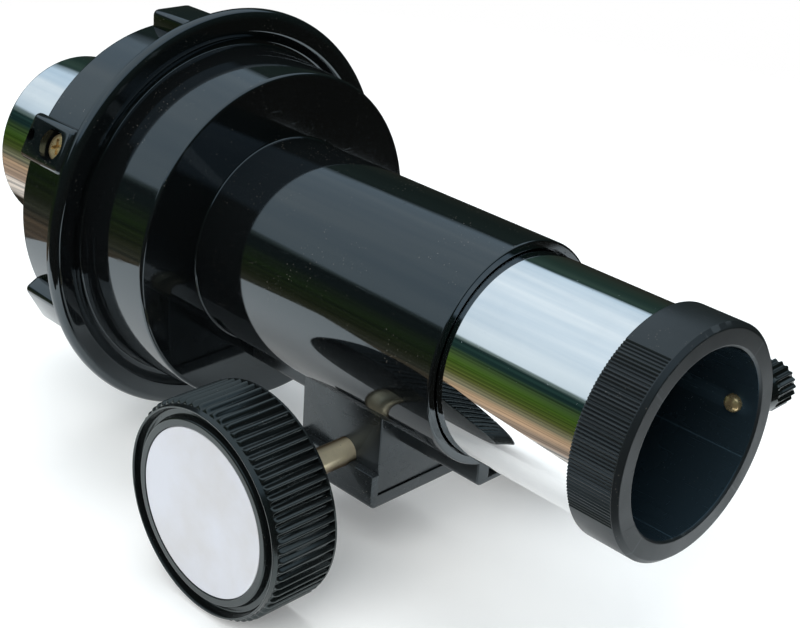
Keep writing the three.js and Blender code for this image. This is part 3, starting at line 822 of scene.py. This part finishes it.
def make_drawtube():
    bore = TUBE_R - TUBE_WALL
    tube = revolve("chrome_drawtube", [
        (TUBE_FRONT, bore, 0.15),
        (TUBE_FRONT, TUBE_R, 0.2),
        (TUBE_BACK, TUBE_R, 0.35),
        (TUBE_BACK, bore, 0.25),
    ])
    cutters = []
    for node in ("rack_screw_1", "rack_screw_2"):
        place, (low, high) = middle(node), limits(node)
        head_r = (high.x - low.x) / 2 + FIT_GAP
        cone = revolve("cone", [
            (-bore + 1, 0, 0),
            (-bore + 1, head_r, 0),
            (-bore, head_r, 0),
            (-bore - 0.95, 0.93, 0),
            (low.z - 1, 0.93, 0),
            (low.z - 1, 0, 0),
        ], 48)
        cutters.append(placed(cone, turned(-90, "Y"), shifted(place.x)))
    cut(tube, *cutters)
    dress(tube, "drawtube", ["drawtube"], CHROME)


make_drawtube()

GRIP_ARCS = ((119.5, 204.1), (299.5, 344.5))
GRIP_STEP = 1.8
GRIP_DEPTH = 0.28
GRIP_LAND = 0.9
GRIP_RUN_OUT = 0.2
GRIP_HALF_WIDTH = 0.7


def grip(along, radius, angle):
    """Grooves along the holder's rim, in two arcs, that stop short of the front.

    GRIP_STEP and GRIP_HALF_WIDTH are in degrees round the rim.
    """
    degrees = np.degrees(angle)
    depth = np.zeros_like(radius)
    for first, last in GRIP_ARCS:
        nearest = first + np.round((degrees - first) / GRIP_STEP) * GRIP_STEP
        inside = (nearest >= first - 0.1) & (nearest <= last - GRIP_STEP + 0.1)
        groove = np.clip(1 - np.abs(degrees - nearest) / GRIP_HALF_WIDTH, 0, 1)
        depth = np.maximum(depth, np.where(inside, groove, 0))
    run_out = np.clip((HOLDER_FRONT - GRIP_LAND - along) / GRIP_RUN_OUT, 0, 1)
    outside = radius > HOLDER_R - 0.3
    return radius - GRIP_DEPTH * depth * run_out * outside


def make_holder():
    chamfer = 0.8
    lip = 0.4
    sleeve_r = TUBE_R - TUBE_WALL - FIT_GAP
    socket_r = TUBE_R + FIT_GAP
    seat = TUBE_FRONT + FIT_GAP
    ring = revolve("eyepiece_end_ring", [
        (HOLDER_FRONT, EYEPIECE_R + lip, 0.12),
        (HOLDER_FRONT, HOLDER_R - chamfer, 0.15),
        (HOLDER_FRONT - chamfer, HOLDER_R, 0.15),
        (HOLDER_FRONT - GRIP_LAND - 0.02, HOLDER_R, 0),
        (HOLDER_FRONT - GRIP_LAND - GRIP_RUN_OUT - 0.02, HOLDER_R, 0),
        (HOLDER_BACK, HOLDER_R, 0.25),
        (HOLDER_BACK, socket_r, 0.1),
        (seat, socket_r, 0),
        (seat, sleeve_r, 0),
        (SLEEVE_BACK, sleeve_r, 0.2),
        (SLEEVE_BACK, EYEPIECE_R, 0.2),
        (HOLDER_FRONT - lip, EYEPIECE_R, 0.1),
    ], 1440, grip)
    stud_hole = rod(EYEPIECE_R - 2, HOLDER_R + 1, STUD_R + RUNNING_GAP)
    cut(ring, placed(stud_hole, turned(90, "Z"), shifted(THUMB_X)))
    dress(ring, "drawtube", ["eyepiece_holder"], SATIN_BLACK, 24)
    ring.data.materials.append(BORE_BLACK)
    for face in ring.data.polygons:
        if math.hypot(face.center.y, face.center.z) < (EYEPIECE_R + 0.05) * MM:
            face.material_index = 1


make_holder()


def dress_cad_nodes():
    """The rack, its screws and the pinion keep their CAD shapes, with better materials."""
    looks = {"rack": STEEL, "rack_screw_1": STEEL, "rack_screw_2": STEEL, "pinion_gear": YELLOW_BRASS}
    for node, look in looks.items():
        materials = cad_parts[node].data.materials
        materials.clear()
        materials.append(look)


dress_cad_nodes()


# ---------------------------------------------------------------- thumbscrew

def make_thumbscrew():
    to_side = (turned(90, "Z"), shifted(THUMB_X))
    stud = revolve("thumbscrew_brass_stud", [
        (STUD_LOW.y, 0, 0),
        (STUD_LOW.y, STUD_R * 0.45, 0.3),
        (STUD_LOW.y + 0.55, STUD_R, 0.5),
        (STUD_HIGH.y, STUD_R, 0.2),
        (STUD_HIGH.y, 0, 0),
    ], 96)
    placed(stud, *to_side)
    dress(stud, "stud", ["thumbscrew_stud"], YELLOW_BRASS)

    flutes = 20
    flute_depth = 0.4
    flutes_start = THUMB_NECK_END - 0.5
    run_in = 1.4
    innermost = 3.1

    def fluted(along, radius, angle):
        valley = ((np.cos(angle * flutes) + 1) / 2) ** 0.8
        run = np.clip((along - flutes_start) / run_in, 0, 1)
        outside = np.clip((radius - innermost) / flute_depth, 0, 1)
        return radius - flute_depth * valley * np.sqrt(1 - (1 - run) ** 2) * outside

    run_rings = [(flutes_start + share * run_in, THUMB_R, 0) for share in (0.55, 0.75, 1)]
    head = revolve("thumbscrew_fluted_head", [
        (THUMB_LOW.y, 0, 0),
        (THUMB_LOW.y, 3.5, 0.2),
        (flutes_start, 3.85, 0.1),
        (THUMB_NECK_END, THUMB_R, 0.2),
        *run_rings,
        (THUMB_HIGH.y - 0.25, THUMB_R, 0.5),
        (THUMB_HIGH.y, THUMB_R - 0.8, 0.35),
        (THUMB_HIGH.y, 2.3, 0.3),
        (THUMB_HIGH.y - 0.35, 2.0, 0.2),
        (THUMB_HIGH.y - 0.35, 0, 0),
    ], 480, fluted)
    cut(head, rod(THUMB_LOW.y - 1, STUD_HIGH.y + FIT_GAP, STUD_R + FIT_GAP, 96))
    placed(head, *to_side)
    dress(head, "thumb_head", ["thumbscrew_head"], RIBBED_BLACK)


make_thumbscrew()


# ---------------------------------------------------------------- shaft and knobs

RIB_DEPTH = 0.8
RIBS_BACK = KNOB_BACK + 0.5
RIBS_FRONT = KNOB_FRONT - 0.95
RIB_RUN_OUT = 0.9


def knob_ribs(along, radius, angle):
    """Rounded ribs, with rounded ends, that stand on the rim's own radius."""
    crest = ((np.cos(angle * KNOB_RIBS) + 1) / 2) ** 1.1
    run = np.clip((RIBS_FRONT - along) / RIB_RUN_OUT, 0, 1)
    ribbed = KNOB_R - RIB_DEPTH * (1 - crest * np.sqrt(1 - (1 - run) ** 2))
    return np.where(along > RIBS_BACK, np.minimum(radius, ribbed), radius)


def knob_outline():
    """Half section of a knob, from its seat for the disc, over the groove and rim, to the back."""
    front = KNOB_FRONT
    seat_r = DISC_R + 0.12
    lip = 0.15
    groove_floor = front - 1.6
    root = KNOB_R - RIB_DEPTH
    collar_r = KNOB_R - 0.15
    run_out = [(RIBS_FRONT - RIB_RUN_OUT * share, KNOB_R, 0) for share in (0.02, 0.1, 0.25, 0.5, 1)]
    return [
        (DISC_BACK - 0.05, 0, 0),
        (DISC_BACK - 0.05, seat_r, 0.05),
        (front - lip, seat_r, 0.15),
        (front - lip, 16.6, 0.35),
        (groove_floor, 16.8, 0.3),
        (groove_floor, 18.0, 0.3),
        (front - 0.1, 18.35, 0.3),
        (front, 18.7, 0.15),
        (front - 0.3, root - 0.15, 0.2),
        (RIBS_FRONT, root, 0.1),
        *run_out,
        (RIBS_BACK + 0.05, KNOB_R, 0),
        (RIBS_BACK, root, 0),
        (RIBS_BACK - 0.05, collar_r, 0),
        (KNOB_BACK, collar_r, 0.2),
        (KNOB_BACK, KNOB_R - 1.5, 0),
        (KNOB_BACK, SHAFT_R + 1, 0),
        (KNOB_BACK, 0, 0),
    ]


def make_knob(side, turn):
    place = (turned(turn, "Z"), shifted(PINION.x, 0, PINION.z))
    knob = revolve(f"ribbed_knob_{side}", knob_outline(), 16 * KNOB_RIBS, knob_ribs)
    cut(knob, rod(KNOB_BACK - 1, SHAFT_END + FIT_GAP, SHAFT_R + FIT_GAP, 96))
    placed(knob, *place)
    dress(knob, "pinion", [f"focus_knob_{side}"], RIBBED_BLACK, 60)
    disc = revolve(f"silver_disc_{side}", [
        (DISC_BACK, 0, 0),
        (DISC_BACK, DISC_R, 0.05),
        (DISC_FRONT, DISC_R, 0.12),
        (DISC_FRONT, 0, 0),
    ])
    placed(disc, *place)
    dress(disc, "pinion", [f"knob_disc_{side}"], DISC_SILVER)


for knob_side, knob_turn in (("right", -90), ("left", 90)):
    make_knob(knob_side, knob_turn)


def make_shaft():
    shaft = revolve("brass_cross_shaft", [
        (-SHAFT_END, 0, 0),
        (-SHAFT_END, SHAFT_R, 0.3),
        (SHAFT_END, SHAFT_R, 0.3),
        (SHAFT_END, 0, 0),
    ], 128)
    placed(shaft, turned(90, "Z"), shifted(PINION.x, 0, PINION.z))
    dress(shaft, "pinion", ["pinion_shaft"], SHAFT_BRASS)


make_shaft()


# ---------------------------------------------------------------- floor, light and sky

FLOOR = cad_bounds[0].z / MM - 0.05
FADE_START = 190
FADE_END = 330


def flat(name, corners, level, material):
    """A level sheet, facing up, that isn't part of the object."""
    sheet = make_object(name, [(x, y, level) for x, y in corners], [list(range(len(corners)))])
    if sheet.data.polygons[0].normal.z < 0:
        sheet.data.flip_normals()
    sheet.data.materials.append(material)
    return sheet


def pale_look():
    """A matt, faintly mottled white. It fades out at its edge and can be seen through from below."""
    s = Surface("pale_table")
    tint = (1, 0.99, 0.97)
    mottle = s.remap(s.noise(300, 4, 0.6), 0.4, 0.6)
    s.set(colour=s.blend(mottle, grey(0.84, tint), grey(0.82, tint)), roughness=0.8)
    s.set(emission_color=grey(1.0), emission_strength=0.2)
    far_out = s.node("ShaderNodeVectorMath", {0: s.place}, operation="LENGTH").outputs["Value"]
    fade = s.remap(far_out, FADE_START * MM, FADE_END * MM, 1.0, 0.0)
    from_above = s.math("SUBTRACT", 1.0, s.geometry.outputs["Backfacing"])
    s.set(alpha=s.math("MULTIPLY", fade, from_above))
    return s.done()


def make_floor():
    """A pale floor, and a smaller table top in its place that only reflections show.

    The table top ends where its edge shows in the barrel and in the chrome.
    """
    pale = pale_look()
    floor = flat("floor", [(-420, -330), (330, -330), (330, 330), (-420, 330)], FLOOR, pale)
    floor.visible_glossy = False
    corners = [(-88, 130), (-88, -171), (170, 6), (170, 130)]
    table = flat("table_top", corners, FLOOR + 0.02, pale)
    table.visible_camera = False
    table.visible_diffuse = False
    table.visible_shadow = False


def soft_light(name, place, aim, size, power, colour=(1, 1, 1)):
    """A wide light that lifts matt surfaces but leaves no hard patch in the glossy ones."""
    data = bpy.data.lights.new(name, "AREA")
    data.shape = "RECTANGLE"
    data.size, data.size_y = size
    data.energy = power
    data.color = colour
    light = bpy.data.objects.new(name, data)
    bpy.context.scene.collection.objects.link(light)
    light.location = place
    light.rotation_mode = "QUATERNION"
    light.rotation_quaternion = (Vector(aim) - Vector(place)).to_track_quat("-Z", "Y")
    light.visible_glossy = False


# Colours by the height of a direction, from -1 straight down to 1 straight up.
NEAR_BANDS = (
    (-0.55, (0.58, 0.52, 0.50, 1)),
    (-0.50, (0.36, 0.26, 0.21, 1)),
    (-0.34, (0.44, 0.29, 0.19, 1)),
    (-0.26, (0.20, 0.18, 0.12, 1)),
    (-0.16, (0.06, 0.07, 0.02, 1)),
    (0.00, (0.04, 0.08, 0.012, 1)),
    (0.12, (0.04, 0.07, 0.025, 1)),
    (0.20, (0.010, 0.026, 0.025, 1)),
    (0.30, (0.012, 0.03, 0.03, 1)),
    (0.345, (0.15, 0.20, 0.20, 1)),
    (0.37, (0.56, 0.67, 0.74, 1)),
    (0.80, (0.76, 0.86, 0.92, 1)),
)
FAR_BANDS = (
    (-0.30, (0.025, 0.022, 0.016, 1)),
    (0.30, (0.018, 0.035, 0.028, 1)),
    (0.46, (0.03, 0.055, 0.045, 1)),
    (0.51, (0.02, 0.04, 0.035, 1)),
    (0.56, (0.50, 0.64, 0.75, 1)),
    (0.80, (0.76, 0.86, 0.92, 1)),
)
STREAKS = ((0.36, (0.45, 0.50, 0.50, 1)), (0.64, (1.5, 1.5, 1.35, 1)))
CLOUDS = ((0.35, (0.74, 0.80, 0.86, 1)), (0.62, (1.08, 1.06, 1.05, 1)))
LEAF_DEPTH = 0.08


def make_sky():
    """Clouded sky over dark trees, and a garden on the near side. Seen directly, it is white."""
    world = bpy.data.worlds.new("surround")
    bpy.context.scene.world = world
    world.use_nodes = True
    sky = Nodes(world.node_tree, "Generated")
    x, y, z = sky.node("ShaderNodeSeparateXYZ", {"Vector": sky.place}).outputs
    leaves = sky.math("MULTIPLY", sky.noise(7.0, 6.0, 0.65), LEAF_DEPTH)
    height = sky.remap(sky.math("ADD", z, leaves), LEAF_DEPTH / 2 - 1, LEAF_DEPTH / 2 + 1)

    def bands(colours):
        return sky.ramp(height, [((1 + level) / 2, colour) for level, colour in colours])

    streaks = sky.ramp(sky.noise(1.6, 4.0, 0.65, sky.stretched(1.5, 1.5, 26.0)), STREAKS)
    garden = sky.blend(sky.remap(z, 0.36, 0.30), bands(NEAR_BANDS), streaks, "MULTIPLY")
    near_side = sky.math("MULTIPLY", sky.remap(y, 0.05, -0.05), sky.remap(x, -0.30, -0.42))
    around = sky.blend(near_side, bands(FAR_BANDS), garden)
    clouds = sky.ramp(sky.noise(2.2, 5.0, 0.55), CLOUDS)
    around = sky.blend(1.0, around, clouds, "MULTIPLY")
    seen = sky.node("ShaderNodeLightPath").outputs["Is Camera Ray"]
    background = world.node_tree.nodes["Background"]
    sky.feed(background.inputs["Color"], sky.blend(seen, around, grey(1.0)))


bpy.context.scene.view_settings.view_transform = "Standard"
make_floor()
make_sky()
soft_light("key", (0.35, -0.75, 0.75), (0.03, 0, 0), (0.8, 0.8), 9.0, (1.0, 0.99, 0.97))
soft_light("top", (-0.1, 0.2, 1.1), (0.03, 0, 0), (1.0, 0.8), 8.0, (0.96, 0.98, 1.0))
